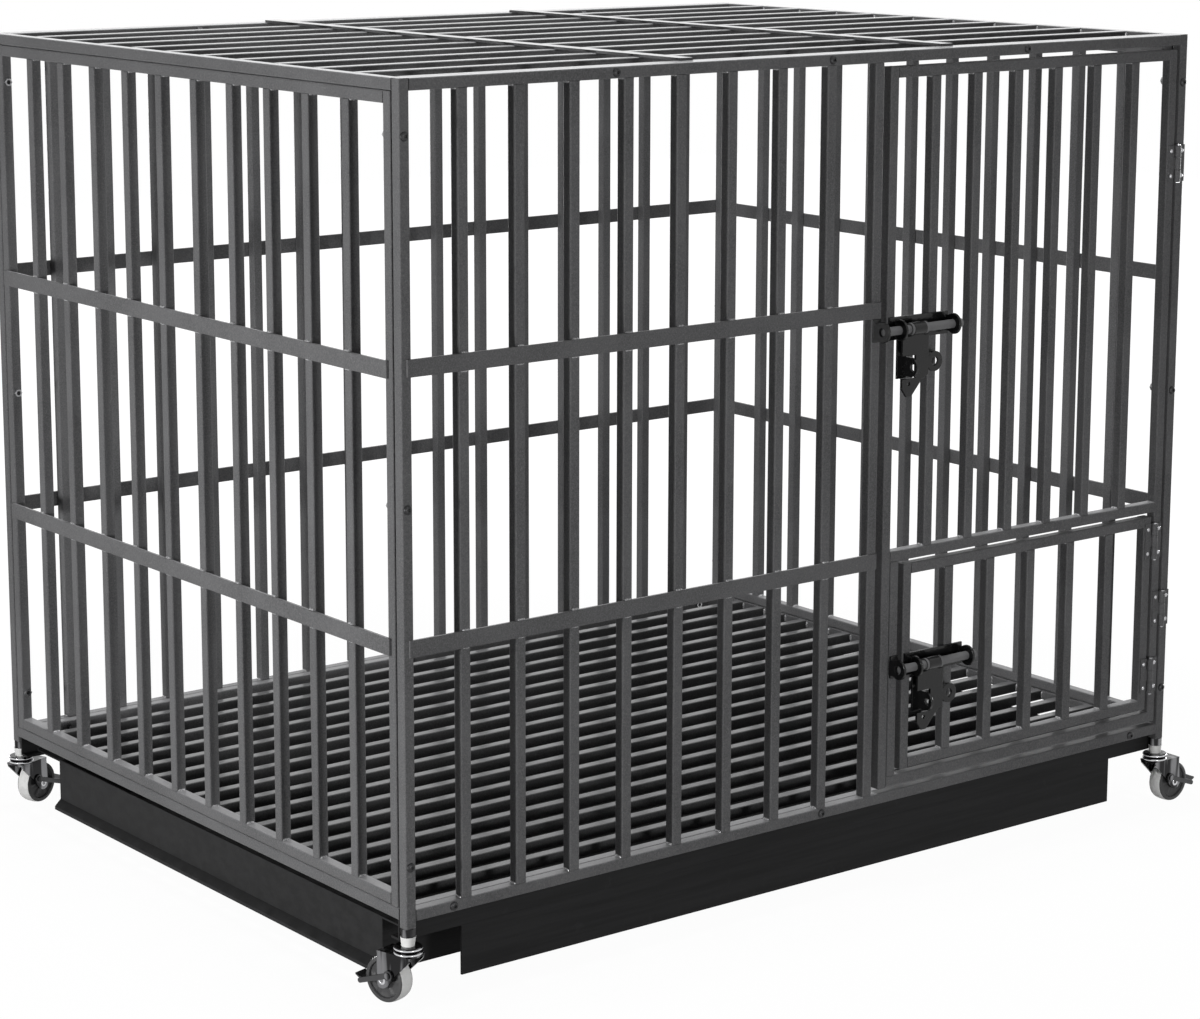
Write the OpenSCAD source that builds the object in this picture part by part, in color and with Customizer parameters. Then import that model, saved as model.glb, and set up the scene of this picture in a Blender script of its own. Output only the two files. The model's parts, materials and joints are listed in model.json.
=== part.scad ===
// Heavy duty dog crate of welded square tube on four braked swivel casters.
// Working frame: X runs right along the front, Y runs back, Z up from the ground.
// The drawn frame has its origin on the ground, in the middle of the whole footprint.

/* [Crate] */
// Length along the front, over the posts
crate_l = 1140; // [1060:5:1240]
// Depth from front to back, over the posts
crate_d = 861; // [800:1:940]
// Height of the top of the posts above the ground
crate_h = 957; // [920:1:1020]
// Side of the square tube
tube = 12.7; // [12:0.1:14]
// Radius on the corners of the tube
tube_r = 1.6; // [1:0.1:2.4]
// How far the posts reach below the floor panel
foot_drop = 7; // [4:0.5:12]
// Gap between a post and the stile of a side panel
side_gap = 2.5; // [1:0.1:5]
// Gap between two panels that lie on each other
panel_gap = 0.6; // [0.3:0.1:1.5]

/* [Bars] */
// Bays between the uprights of the front and back panels
front_bays = 16; // [15:1:18]
// Bay at whose end the door jamb stands
jamb_bay = 9; // [8:1:9]
// Bays between the uprights of the side panels
side_bays = 11; // [9:1:13]
// Bays between the bars of the top panel
top_bays = 11; // [9:1:13]
// Bays between the slats of the floor panel
floor_bays = 18; // [14:1:20]
// Bays between the bars of the main door
door_bays = 7; // [6:1:8]
// Bays between the bars of the feed door
feed_bays = 6; // [5:1:7]

/* [Straps] */
// Width of the flat straps
strap_w = 18; // [12:0.5:24]
// Thickness of the flat straps
strap_t = 3; // [2:0.1:5]
// Distance of the upper front and back straps below the top of the posts
strap_top_in = 287.7; // [220:1:340]
// Distance of the lower front and back straps above the floor panel
strap_foot_in = 289.7; // [250:1:330]
// Distance of the upper side straps below the top of the posts
side_strap_top_in = 291; // [220:1:340]
// Distance of the lower side straps above the floor panel
side_strap_foot_in = 288.6; // [250:1:330]
// Distance of the two top straps from the ends of the crate
top_strap_x = 380; // [280:5:460]

/* [Doors] */
// Gap between the door jamb and the main door
latch_gap = 10; // [9:0.1:11.5]
// Gap between a door and what it hinges on
hinge_gap = 4.5; // [4:0.1:5.5]
// Gap above the main door
door_gap_hi = 5; // [3:0.1:8]
// Gap below the main door
door_gap_lo = 5.3; // [3:0.1:8]
// Height of the underside of the main door's middle rail
mid_z = 376.3; // [368:0.5:384]
// Gap between the main door's stile and the feed jamb tube
feed_jamb_gap = 0.8; // [0.4:0.1:1.5]
// Gap between the feed jamb tube and the feed door
feed_latch_gap = 8; // [7:0.1:9.5]
// Gap above and below the feed door
feed_gap = 5; // [3:0.1:7]

/* [Hinges] */
// Height of a hinge
hinge_h = 44; // [36:0.5:50]
// Width of a hinge leaf beside the barrel
leaf_w = 9.5; // [8.5:0.1:10]
// Thickness of a hinge leaf
leaf_t = 2; // [1.5:0.1:2.5]
// Radius of a hinge barrel
barrel_r = 3.7; // [3.4:0.1:3.8]
// Radius of a hinge pin
hinge_pin_r = 2; // [1.5:0.1:2.3]
// Distance of the main door's upper hinge below the door's top
main_hinge_top_in = 113.8; // [70:1:150]
// Distance of the main door's lower hinge above the door's foot
main_hinge_foot_in = 122; // [106:1:140]
// Distance of the feed door's upper hinge below the door's top
feed_hinge_top_in = 8.3; // [6.5:0.5:15]
// Distance of the feed door's lower hinge above the door's foot
feed_hinge_foot_in = 21.3; // [13:0.5:24]

/* [Latches] */
// Distance of the main latch's rod below the door's top
main_latch_in = 292.8; // [220:1:380]
// Distance of the feed latch's rod below the feed door's top
feed_latch_in = 118.3; // [101:1:136]
// Radius of the sliding rod
rod_r = 5; // [4:0.1:5.5]
// Distance of the rod's axis in front of the door
rod_off = 15; // [14:0.1:17]
// Reach of the drawn rod past the door's edge
rod_reach = 17.3; // [16.8:0.1:18]
// Length of the rod
rod_l = 118; // [112:0.5:130]
// Travel of the rod
rod_travel = 22; // [12:0.5:25]
// Outer radius of the ring lugs
lug_r = 12; // [10:0.1:12.4]
// Thickness of the ring lugs
lug_t = 3.2; // [2.5:0.1:4]
// Width of the hasp plate
hasp_w = 40; // [38:0.5:42]
// Thickness of the hasp plate
hasp_t = 3; // [2:0.1:3.5]
// Length of the hasp plate below the rod's axis
hasp_l = 77; // [74:0.5:84]
// Outer radius of the hasp's finger ring
finger_r = 11.5; // [10:0.1:12]
// Radius of the hole in the finger ring
finger_hole_r = 5.2; // [4:0.1:6]
// Half height and nose radius of the padlock staple
staple_r = 11; // [9:0.1:11.5]
// Radius of the padlock hole
padlock_r = 4.2; // [3:0.1:4.5]

/* [Casters] */
// Radius of a wheel
wheel_r = 25.4; // [24:0.2:26.4]
// Width of a wheel
wheel_w = 18; // [15:0.5:18.4]
// Distance of the axle behind the swivel axis
trail = 26; // [24:0.2:27]
// Radius of the axle
axle_r = 4; // [3:0.1:4.5]
// Radius of the swivel rings
ring_r = 15; // [13:0.2:15.5]
// Thickness of each swivel ring
ring_t = 4; // [3:0.1:5]
// Reach of the brake pedal from the swivel axis
pedal_reach = 66; // [60:0.5:67]
// Width of the brake pedal's tab
pedal_w = 16; // [10:0.5:20]
// Heading of the front left caster
fl_heading = 105; // [60:1:120]
// Heading of the front right caster
fr_heading = 0; // [-20:1:20]
// Heading of the back left caster
bl_heading = 20; // [0:1:40]
// Heading of the back right caster
br_heading = 190; // [170:1:200]

/* [Tray] */
// Height of the tray's underside above the ground
tray_z = 12; // [8:0.5:30]
// Thickness of the tray's sheet
tray_t = 2; // [1:0.1:3]
// Distance of the tray's well from the front and back of the crate
tray_well_in = 77; // [76:0.5:110]
// Distance of the tray's flange edges from the front and back
tray_flange_in = 20; // [19:0.1:22]
// Distance of the tray's left end from the left of the crate
tray_left = 22; // [16:0.5:60]
// Distance of the tray's right end from the right of the crate
tray_right = 19; // [16:0.5:40]
// Height of the pull lip at the foot of the left end
lip_h = 12; // [6:0.5:20]
// Reach of the pull lip
lip_reach = 8; // [4:0.5:12]
// Height of the runners' lower edge between the casters, above the ground
skirt_z = 14; // [10:0.5:40]
// Thickness of the angle runners
runner_t = 2.5; // [1.5:0.1:3]
// Width of the runners' foot under the tray's flange
runner_w = 15; // [10:0.5:20]

/* [Fasteners] */
// Radius of the panel bolts
bolt_r = 2.5; // [2:0.1:3]
// Radius of the bolts' button heads
head_r = 5; // [4:0.1:5.5]
// Height of the button heads
head_h = 2.8; // [2:0.1:3.4]
// Radius of the nuts over their corners
nut_r = 4.8; // [4.4:0.1:5.5]
// Height of the nuts
nut_h = 4; // [3:0.1:5]
// Distance of the upper post bolts below the top of the posts
post_bolt_top_in = 57; // [42:1:117]
// Distance of the lower post bolts above the floor panel
post_bolt_foot_in = 59; // [48:1:108]
// Distance of the outer top bolts from the ends of the crate
top_bolt_in = 271; // [170:1:370]
// Distance of the outer floor bolts from the ends of the crate
floor_bolt_in = 60; // [55:1:150]

/* [Hidden] */
$fn = 48;

// Overrun of every cut past the face that it leaves
over = 1;
// Radial clearance of a shaft that turns or slides in its hole
run_clear = 0.06;
// Radial clearance of a fastener in its hole
hole_clear = 0.15;
// End play between parts that turn on one axis
end_clear = 0.3;
// Root gap of the welds between the tubes of a frame
weld_gap = 0.1;
// Gap between the tyre and the hub that it is bonded to
bond_gap = 0.05;
steel = "dimgray";
glossy = "black";
bright = "silver";

// Casters, from the ground up
wheel_top_gap = 3.7;
crown_plate_t = 2.5;
race_gap = 1;
collar_h = 10;
ferrule_h = 9;
ferrule_r = 8;
collar_top_r = 8.2;
collar_foot_r = 7;
stud_r = 4;
stud_l = 28;
kingpin_r = 4;
plate_z = 2 * wheel_r + wheel_top_gap;
crown_z = plate_z + crown_plate_t;
ring_z = crown_z + ring_t + race_gap;
collar_z = ring_z + ring_t;
ferrule_z = collar_z + collar_h;
foot_z = ferrule_z + ferrule_h;
floor_z = foot_z + foot_drop;
post_c = tube / 2;
cheek_gap = 1.2;
cheek_t = 2.2;
cheek_y = wheel_w / 2 + cheek_gap;
cheek_boss_r = 8.5;
pivot_boss_r = 5.5;
tyre_d = 2.6;
hub_r = wheel_r - tyre_d;
hub_lip = 3;
rib_t = 2;
rib_drop = 1;
rib_n = 6;
hub_boss_r = 8;
hub_recess = 2;
tyre_shoulder = 1.2;
// Fork cheek outline, as shares of the trail and of the crown's height
cheek_shares = [[-0.42, 1], [-0.42, 0.91], [0.4, 0.55], [0.72, 0.34], [1.31, 0.41], [1.22, 1]];
plate_front_share = 0.46;
plate_back_share = 1.24;
// Brake pedal: pivot on the cheeks, arms to a cross bar behind the tyre, tab beyond it
pivot_ahead = 10;
pivot_rise = 7.6;
pivot_r = 2;
pivot_head_r = 3.4;
pivot_head_t = 0.8;
arm_l = 40.4;
arm_slope = 19;
arm_w = 5.5;
arm_t = 2;
pad_r = 2;
tab_t = 1.6;
toe_l = 5;
toe_rise = 3;
pivot_x = trail - pivot_ahead;
pivot_z = wheel_r + pivot_rise;
arm_y = cheek_y + cheek_t + end_clear;
pad_x = pivot_x + arm_l * cos(arm_slope);
pad_z = pivot_z - arm_l * sin(arm_slope);
tab_l = pedal_reach - pad_x;

// Frame levels
top_z = crate_h - tube;
side_z0 = floor_z + tube + panel_gap;
side_z1 = top_z - panel_gap;
side_y0 = tube + side_gap;
side_l = crate_d - 2 * side_y0;
deck_y0 = tube + panel_gap;
deck_l = crate_d - 2 * deck_y0;
inner_l = crate_l - 2 * tube;
strap_zs = [floor_z + strap_foot_in, crate_h - strap_top_in];
side_strap_zs = [floor_z + side_strap_foot_in, crate_h - side_strap_top_in];

// Doors
jamb_x = bay(jamb_bay, front_bays, crate_l);
door_x = jamb_x + tube + latch_gap;
door_w = crate_l - tube - hinge_gap - door_x;
door_z = floor_z + tube + door_gap_lo;
door_top = top_z - door_gap_hi;
feed_jamb_x = door_x + tube + feed_jamb_gap;
feed_x = feed_jamb_x + tube + feed_latch_gap;
feed_w = door_x + door_w - tube - hinge_gap - feed_x;
feed_z = door_z + tube + feed_gap;
feed_top = mid_z - feed_gap;

// Hinges
barrel_lift = 0.3;
leaf_clear = 0.5;
rivet_in = 7;
rivet_r = 1.6;
rivet_head_r = 2.6;
rivet_head_t = 1.2;
rivet_l = 5;
hinge_y = -barrel_r - barrel_lift;
leaf_x = barrel_r + leaf_clear;
rivet_x = leaf_x + leaf_w / 2;
knuckle_h = (hinge_h - 2 * end_clear) / 3;
main_hinge_x = crate_l - tube - hinge_gap / 2;
feed_hinge_x = door_x + door_w - tube - hinge_gap / 2;
main_hinge_zs = [door_z + main_hinge_foot_in, door_top - main_hinge_top_in - hinge_h];
feed_hinge_zs = [feed_z + feed_hinge_foot_in, feed_top - feed_hinge_top_in - hinge_h];
rivet_zs = [rivet_in, hinge_h - rivet_in];

// Latches, measured from the door's edge and from the rod's axis
main_latch_z = door_top - main_latch_in;
feed_latch_z = feed_top - feed_latch_in;
base_t = 2.5;
base_in = 2;
base_l = 91;
base_w = 26;
keeper_w = 11;
lug_neck_w = 18;
lug_bevel = 0.7;
lug_in = 6;
lug_edge = 1.8;
far_lug_in = base_in + base_l - lug_edge - lug_t;
throw_clear = 0.5;
sleeve_in = 24;
sleeve_l = 18;
sleeve_r = 7.5;
collar_r = 7;
rod_collar_t = 3.2;
rod_tip = 2;
hasp_in = 10;
hasp_drop = 8;
notch_l = 20.5;
notch_gap = 2;
waist_w = 31;
waist_fall = 2;
tip_in = 7;
tip_w = 7;
tip_rise = 10;
tip_hole_in = 10;
tip_hole_fall = 6;
tip_hole_r = 2.4;
finger_in = 60;
finger_drop = 40;
staple_in = 20.4;
staple_t = 3.2;
staple_drop = 43;
staple_c = 18;
padlock_c = 22;
arm_in = 15;
arm_plate_w = 14;
arm_foot = 4;

// Tray and runners
hem_r = 1.8;
flange_clear = 0.3;
runner_y = tube + panel_gap + tube_r + runner_t / 4;
runner_z = collar_z + runner_t;
flange_z = runner_z + runner_t + flange_clear;
runner_end = 2;
skirt_clear = 8;
skirt_end = post_c + pedal_reach + skirt_clear;
tray_x0 = tray_left;
tray_x1 = crate_l - tray_right;

// Where the origin of the drawn frame lies
staple_nose = staple_c + staple_r;
x_lo = post_c - max(reach(fl_heading, 180), reach(bl_heading, 180));
x_hi = crate_l - post_c + max(reach(fr_heading, 0), reach(br_heading, 0));
y_lo = min(-staple_nose, post_c - max(reach(fl_heading, 270), reach(fr_heading, 270)));
y_hi = crate_d - post_c + max(reach(bl_heading, 90), reach(br_heading, 90));
origin_x = (x_lo + x_hi) / 2;
origin_y = (y_lo + y_hi) / 2;

// Left face of upright number k, in a row of n bays over length l
function bay(k, n, l) = k * (l - tube) / n;

// Reach of a caster with heading h from its swivel axis, in direction d
function reach(h, d) = max(
    arm_y + arm_t + end_clear + pivot_head_t,
    pedal_reach * cos(h - d) + pedal_w / 2 * abs(sin(h - d)),
    (pad_x + arm_w / 2) * cos(h - d) + (arm_y + arm_t) * abs(sin(h - d)),
    trail * cos(h - d) + wheel_r * abs(cos(h - d)) + wheel_w / 2 * abs(sin(h - d)));

// Moves the working frame to the drawn frame
module place() {
    translate([-origin_x, -origin_y, 0]) children();
}

// Rounded square of the tube
module section() {
    translate([tube_r, 0]) square([tube - 2 * tube_r, tube]);
    translate([0, tube_r]) square([tube, tube - 2 * tube_r]);
    for (x = [tube_r, tube - tube_r], y = [tube_r, tube - tube_r])
        translate([x, y]) circle(tube_r);
}

module tube_x(p, l) {
    translate(p) rotate([90, 0, 90]) linear_extrude(l) section();
}

module tube_y(p, l) {
    translate(p + [0, l, 0]) rotate([90, 0, 0]) linear_extrude(l) section();
}

module tube_z(p, l) {
    translate(p) linear_extrude(l) section();
}

// Cylinder along Y, starting at p
module rod_y(p, r, l) {
    translate(p + [0, l, 0]) rotate([90, 0, 0]) cylinder(r = r, h = l);
}

// Cylinder along X, starting at p
module rod_x(p, r, l) {
    translate(p) rotate([0, 90, 0]) cylinder(r = r, h = l);
}

// Hole for one fastener along Y through everything from y0 to y1
module bolt_hole(x, y0, y1, z, r) {
    rod_y([x, y0 - over, z], r + hole_clear, y1 - y0 + 2 * over);
}

post_bolt_lo_z = floor_z + post_bolt_foot_in;
post_bolt_hi_z = crate_h - post_bolt_top_in;
post_bolt_zs = [post_bolt_lo_z, (post_bolt_lo_z + post_bolt_hi_z) / 2, post_bolt_hi_z];
post_xs = [0, crate_l - tube];
top_bolt_xs = [top_bolt_in, crate_l / 2, crate_l - top_bolt_in];
floor_bolt_xs = [floor_bolt_in, crate_l / 2, crate_l - floor_bolt_in];
rail_bolts = [
    for (x = top_bolt_xs) [x, top_z + tube / 2],
    for (x = floor_bolt_xs) [x, floor_z + tube / 2]];
post_bolts = [for (x = post_xs, z = post_bolt_zs) [x + post_c, z]];

// Front or back panel frame with its face at y
module end_frame(y) {
    for (x = post_xs)
        difference() {
            tube_z([x, y, foot_z], crate_h - foot_z);
            for (z = post_bolt_zs) bolt_hole(x + post_c, y, y + tube, z, bolt_r);
            translate([x + post_c, y + post_c, foot_z - over])
                cylinder(r = stud_r + hole_clear, h = stud_l + over);
            if (y == 0 && x > 0) rivet_holes(main_hinge_x + rivet_x, main_hinge_zs);
        }
    for (z = [floor_z, top_z])
        difference() {
            tube_x([tube + weld_gap, y, z], inner_l - 2 * weld_gap);
            for (b = rail_bolts)
                if (b[1] > z && b[1] < z + tube) bolt_hole(b[0], y, y + tube, b[1], bolt_r);
        }
}

// Blind holes for the rivets of hinges with lower ends zs, in the face at Y 0
module rivet_holes(x, zs) {
    for (z0 = zs, z = rivet_zs)
        rod_y([x, -over, z0 + z], rivet_r + hole_clear, rivet_l + 2 * over);
}

module front_frame() {
    color(steel) place() {
        end_frame(0);
        tube_z([jamb_x, 0, floor_z + tube + weld_gap], top_z - floor_z - tube - 2 * weld_gap);
    }
}

module front_bars() {
    color(steel) place()
        for (k = [1 : jamb_bay - 1])
            tube_z([bay(k, front_bays, crate_l), 0, floor_z + tube], top_z - floor_z - tube);
}

module front_straps() {
    color(steel) place()
        for (z = strap_zs)
            translate([post_c, -strap_t, z - strap_w / 2])
                cube([jamb_x + tube - tube_r - post_c, strap_t, strap_w]);
}

module back_frame() {
    color(steel) place() end_frame(crate_d - tube);
}

module back_bars() {
    color(steel) place()
        for (k = [1 : front_bays - 1])
            tube_z([bay(k, front_bays, crate_l), crate_d - tube, floor_z + tube], top_z - floor_z - tube);
}

module back_straps() {
    color(steel) place()
        for (z = strap_zs)
            translate([post_c, crate_d, z - strap_w / 2]) cube([crate_l - 2 * post_c, strap_t, strap_w]);
}

// Side panel pieces with the outer face at X 0, or mirrored to the far end
module side(far) {
    translate([far ? crate_l : 0, 0, 0]) mirror([far ? 1 : 0, 0, 0]) children();
}

module side_frame() {
    for (y = [side_y0, side_y0 + side_l - tube])
        difference() {
            tube_z([0, y, side_z0], side_z1 - side_z0);
            for (z = post_bolt_zs) bolt_hole(post_c, y, y + tube, z, bolt_r);
        }
    for (z = [side_z0, side_z1 - tube])
        tube_y([0, side_y0 + tube + weld_gap, z], side_l - 2 * (tube + weld_gap));
}

module side_bars() {
    for (k = [1 : side_bays - 1])
        tube_z([0, side_y0 + bay(k, side_bays, side_l), side_z0 + tube], side_z1 - side_z0 - 2 * tube);
}

module side_straps() {
    for (z = side_strap_zs)
        translate([-strap_t, side_y0 + tube / 2, z - strap_w / 2])
            cube([strap_t, side_l - tube, strap_w]);
}

module left_frame() { color(steel) place() side(false) side_frame(); }
module left_bars() { color(steel) place() side(false) side_bars(); }
module left_straps() { color(steel) place() side(false) side_straps(); }
module right_frame() { color(steel) place() side(true) side_frame(); }
module right_bars() { color(steel) place() side(true) side_bars(); }
module right_straps() { color(steel) place() side(true) side_straps(); }

// Frame of the top or floor panel, with its underside at z
module deck_frame(z) {
    for (x = post_xs) tube_y([x, deck_y0, z], deck_l);
    for (y = [deck_y0, deck_y0 + deck_l - tube])
        difference() {
            tube_x([tube + weld_gap, y, z], inner_l - 2 * weld_gap);
            for (b = rail_bolts)
                if (b[1] > z && b[1] < z + tube) bolt_hole(b[0], y, y + tube, b[1], bolt_r);
        }
}

// Bars of the top or floor panel, n bays
module deck_bars(z, n) {
    for (k = [1 : n - 1]) tube_x([tube, deck_y0 + bay(k, n, deck_l), z], inner_l);
}

module top_frame() { color(steel) place() deck_frame(top_z); }
module top_bars() { color(steel) place() deck_bars(top_z, top_bays); }
module floor_frame() { color(steel) place() deck_frame(floor_z); }
module floor_slats() { color(steel) place() deck_bars(floor_z, floor_bays); }

module top_straps() {
    color(steel) place()
        for (x = [top_strap_x, crate_l - top_strap_x])
            translate([x - strap_w / 2, deck_y0 + tube / 2, crate_h]) cube([strap_w, deck_l - tube, strap_t]);
}

// Draws its children at the front, and mirrored at the back
module both_ends() {
    children();
    translate([0, crate_d, 0]) mirror([0, 1, 0]) children();
}

head_edge = 0.7;
socket_r = 1.85;
socket_d = 1.4;

// Inner face of the stile that a post bolt clamps, and of the tube that a rail bolt clamps
post_grip = side_y0 + tube;
rail_grip = deck_y0 + tube;

// Button head of a bolt, a low dome with a hexagon socket
module button_head() {
    dome_h = head_h - head_edge;
    dome_r = (head_r * head_r + dome_h * dome_h) / (2 * dome_h);
    difference() {
        intersection() {
            cylinder(r = head_r, h = head_h);
            translate([0, 0, head_h - dome_r]) sphere(dome_r);
        }
        translate([0, 0, head_h - socket_d]) cylinder(r = socket_r, h = socket_d + over, $fn = 6);
    }
}

// Button head on the front face and a shank through to past the nut
module bolt_at(b, grip) {
    translate([b[0], 0, b[1]]) rotate([90, 0, 0]) button_head();
    rod_y([b[0], 0, b[1]], bolt_r, grip + nut_h + bolt_r / 2);
}

module nut_at(b, grip) {
    translate([b[0], grip + nut_h, b[1]]) rotate([90, 0, 0])
        difference() {
            cylinder(r = nut_r, h = nut_h, $fn = 6);
            translate([0, 0, -over]) cylinder(r = bolt_r + run_clear, h = nut_h + 2 * over);
        }
}

module panel_bolts() {
    color(glossy) place() both_ends() {
        for (b = post_bolts) bolt_at(b, post_grip);
        for (b = rail_bolts) bolt_at(b, rail_grip);
    }
}

module panel_nuts() {
    color(bright) place() both_ends() {
        for (b = post_bolts) nut_at(b, post_grip);
        for (b = rail_bolts) nut_at(b, rail_grip);
    }
}

module door_frame() {
    color(steel) place() {
        tube_z([door_x, 0, door_z], door_top - door_z);
        difference() {
            tube_z([door_x + door_w - tube, 0, door_z], door_top - door_z);
            rivet_holes(main_hinge_x - rivet_x, main_hinge_zs);
            rivet_holes(feed_hinge_x + rivet_x, feed_hinge_zs);
        }
        for (z = [door_z, mid_z, door_top - tube])
            tube_x([door_x + tube + weld_gap, 0, z], door_w - 2 * (tube + weld_gap));
    }
}

module door_bars() {
    color(steel) place()
        for (k = [1 : door_bays - 1])
            tube_z([door_x + bay(k, door_bays, door_w), 0, mid_z + tube], door_top - mid_z - 2 * tube);
}

module feed_jamb() {
    color(steel) place() tube_z([feed_jamb_x, 0, door_z + tube], mid_z - door_z - tube);
}

module feed_frame() {
    color(steel) place() {
        tube_z([feed_x, 0, feed_z], feed_top - feed_z);
        difference() {
            tube_z([feed_x + feed_w - tube, 0, feed_z], feed_top - feed_z);
            rivet_holes(feed_hinge_x - rivet_x, feed_hinge_zs);
        }
        for (z = [feed_z, feed_top - tube])
            tube_x([feed_x + tube + weld_gap, 0, z], feed_w - 2 * (tube + weld_gap));
    }
}

module feed_bars() {
    color(steel) place()
        for (k = [1 : feed_bays - 1])
            tube_z([feed_x + bay(k, feed_bays, feed_w), 0, feed_z + tube], feed_top - feed_z - 2 * tube);
}

// One hinge leaf to the right of its axis, with knuckles numbered from the bottom
module leaf(knuckles) {
    difference() {
        union() {
            translate([leaf_x, -leaf_t, 0]) cube([leaf_w, leaf_t, hinge_h]);
            for (k = knuckles)
                translate([0, 0, k * (knuckle_h + end_clear)]) {
                    translate([0, hinge_y, 0]) cylinder(r = barrel_r, h = knuckle_h);
                    translate([0, -leaf_t, 0]) cube([leaf_x, leaf_t, knuckle_h]);
                }
        }
        translate([0, hinge_y, -over])
            cylinder(r = hinge_pin_r + run_clear, h = hinge_h + 2 * over);
        for (z = rivet_zs) rod_y([rivet_x, -leaf_t - over, z], rivet_r + hole_clear, leaf_t + 2 * over);
    }
}

module leaves(x, zs, moving) {
    color(glossy) place()
        for (z = zs)
            translate([x, 0, z]) mirror([moving ? 1 : 0, 0, 0]) leaf(moving ? [1] : [0, 2]);
}

module pins(x, zs) {
    color(bright) place()
        for (z = zs)
            translate([x, hinge_y, z - rivet_head_t]) {
                cylinder(r = hinge_pin_r, h = hinge_h + 2 * rivet_head_t);
                for (e = [0, hinge_h + rivet_head_t])
                    translate([0, 0, e]) cylinder(r = rivet_head_r, h = rivet_head_t);
            }
}

module rivets(x, zs) {
    for (z0 = zs, z = rivet_zs)
        translate([x, 0, z0 + z]) {
            rod_y([0, -leaf_t, 0], rivet_r, leaf_t + rivet_l);
            translate([0, -leaf_t, 0]) rotate([90, 0, 0])
                cylinder(r1 = rivet_head_r, r2 = rivet_r, h = rivet_head_t);
        }
}

module main_hinge_fixed() { leaves(main_hinge_x, main_hinge_zs, false); }
module main_hinge_moving() { leaves(main_hinge_x, main_hinge_zs, true); }
module main_hinge_pins() { pins(main_hinge_x, main_hinge_zs); }
module feed_hinge_fixed() { leaves(feed_hinge_x, feed_hinge_zs, false); }
module feed_hinge_moving() { leaves(feed_hinge_x, feed_hinge_zs, true); }
module feed_hinge_pins() { pins(feed_hinge_x, feed_hinge_zs); }
module post_rivets() { color(bright) place() rivets(main_hinge_x + rivet_x, main_hinge_zs); }
module door_rivets() {
    color(bright) place() {
        rivets(main_hinge_x - rivet_x, main_hinge_zs);
        rivets(feed_hinge_x + rivet_x, feed_hinge_zs);
    }
}
module feed_rivets() { color(bright) place() rivets(feed_hinge_x - rivet_x, feed_hinge_zs); }

// Ring lug in the YZ plane with bevelled rims, from X 0, round the rod's axis and back to the base plate
module lug() {
    difference() {
        rotate([0, 90, 0]) {
            cylinder(r1 = lug_r - lug_bevel, r2 = lug_r, h = lug_bevel);
            translate([0, 0, lug_bevel]) cylinder(r = lug_r, h = lug_t - 2 * lug_bevel);
            translate([0, 0, lug_t - lug_bevel]) cylinder(r1 = lug_r, r2 = lug_r - lug_bevel, h = lug_bevel);
        }
        rod_x([-over, 0, 0], rod_r + run_clear, lug_t + 2 * over);
    }
    difference() {
        translate([0, 0, -lug_neck_w / 2]) cube([lug_t, rod_off - base_t / 2, lug_neck_w]);
        rod_x([-over, 0, 0], rod_r + run_clear, lug_t + 2 * over);
    }
}

// Latch frame: X from the door's edge, Y and Z from the rod's axis
module latch(x, z) {
    color(glossy) place() translate([x, -rod_off, z]) children();
}

// Keeper on a jamb whose middle lies at mid from the door's edge
module keeper(mid) {
    translate([mid - keeper_w / 2, rod_off - base_t, -base_w / 2]) cube([keeper_w, base_t, base_w]);
    translate([-rod_reach - throw_clear - lug_t, 0, 0]) lug();
}

module bracket() {
    translate([base_in, rod_off - base_t, -base_w / 2]) cube([base_l, base_t, base_w]);
    translate([arm_in, rod_off - base_t, -staple_drop - staple_r - arm_foot])
        cube([arm_plate_w, base_t, staple_drop + staple_r + arm_foot]);
    for (x = [lug_in, far_lug_in]) translate([x, 0, 0]) lug();
}

// Padlock staple, a D plate that stands out from the bracket's arm
module staple() {
    translate([staple_in, rod_off, -staple_drop]) rotate([90, 0, 90]) linear_extrude(staple_t)
        difference() {
            union() {
                translate([-staple_c, -staple_r]) square([staple_c - base_t, 2 * staple_r]);
                translate([-staple_c, 0]) circle(staple_r);
            }
            translate([-padlock_c, 0]) circle(padlock_r);
        }
}

// Rod with two collars that hold the hasp, and a bevelled tip
module rod() {
    rod_x([rod_tip - rod_reach, 0, 0], rod_r, rod_l - rod_tip);
    translate([-rod_reach, 0, 0]) rotate([0, 90, 0])
        cylinder(r1 = rod_r - rod_tip / 2, r2 = rod_r, h = rod_tip);
    rod_x([sleeve_in - end_clear - rod_collar_t, 0, 0], collar_r, rod_collar_t);
    rod_x([sleeve_in + sleeve_l + end_clear, 0, 0], collar_r, rod_collar_t);
}

// Hasp plate seen from the front, hanging from the rod's axis: head, bridge beside the notch, and tip,
// with a weld between each two, cut back for the sleeve and the finger ring
module hasp_outline() {
    notch_hi = staple_drop - staple_r - notch_gap;
    notch_lo = staple_drop + staple_r + notch_gap;
    difference() {
        union() {
            polygon([
                [hasp_in, -hasp_drop], [hasp_in + hasp_w, -hasp_drop],
                [hasp_in + hasp_w, -staple_drop - staple_r], [hasp_in + waist_w, -notch_lo - waist_fall],
                [hasp_in + tip_in + tip_w, -hasp_l], [hasp_in + tip_in, -hasp_l],
                [hasp_in, tip_rise - hasp_l]]);
            translate([sleeve_in, -hasp_drop - over]) square([sleeve_l, hasp_drop + over]);
        }
        translate([hasp_in - over, -notch_lo]) square([notch_l + over, notch_lo - notch_hi]);
        translate([finger_in, -finger_drop]) circle(finger_r + bond_gap);
        translate([hasp_in + tip_hole_in, -notch_lo - tip_hole_fall]) circle(tip_hole_r);
        for (z = [-notch_hi, -notch_lo - weld_gap])
            translate([hasp_in + notch_l - over, z]) square([hasp_w, weld_gap]);
    }
}

// Flat piece of the hasp, drawn seen from the front
module hasp_sheet() {
    translate([0, hasp_t / 2, 0]) rotate([90, 0, 0]) linear_extrude(hasp_t) children();
}

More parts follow.
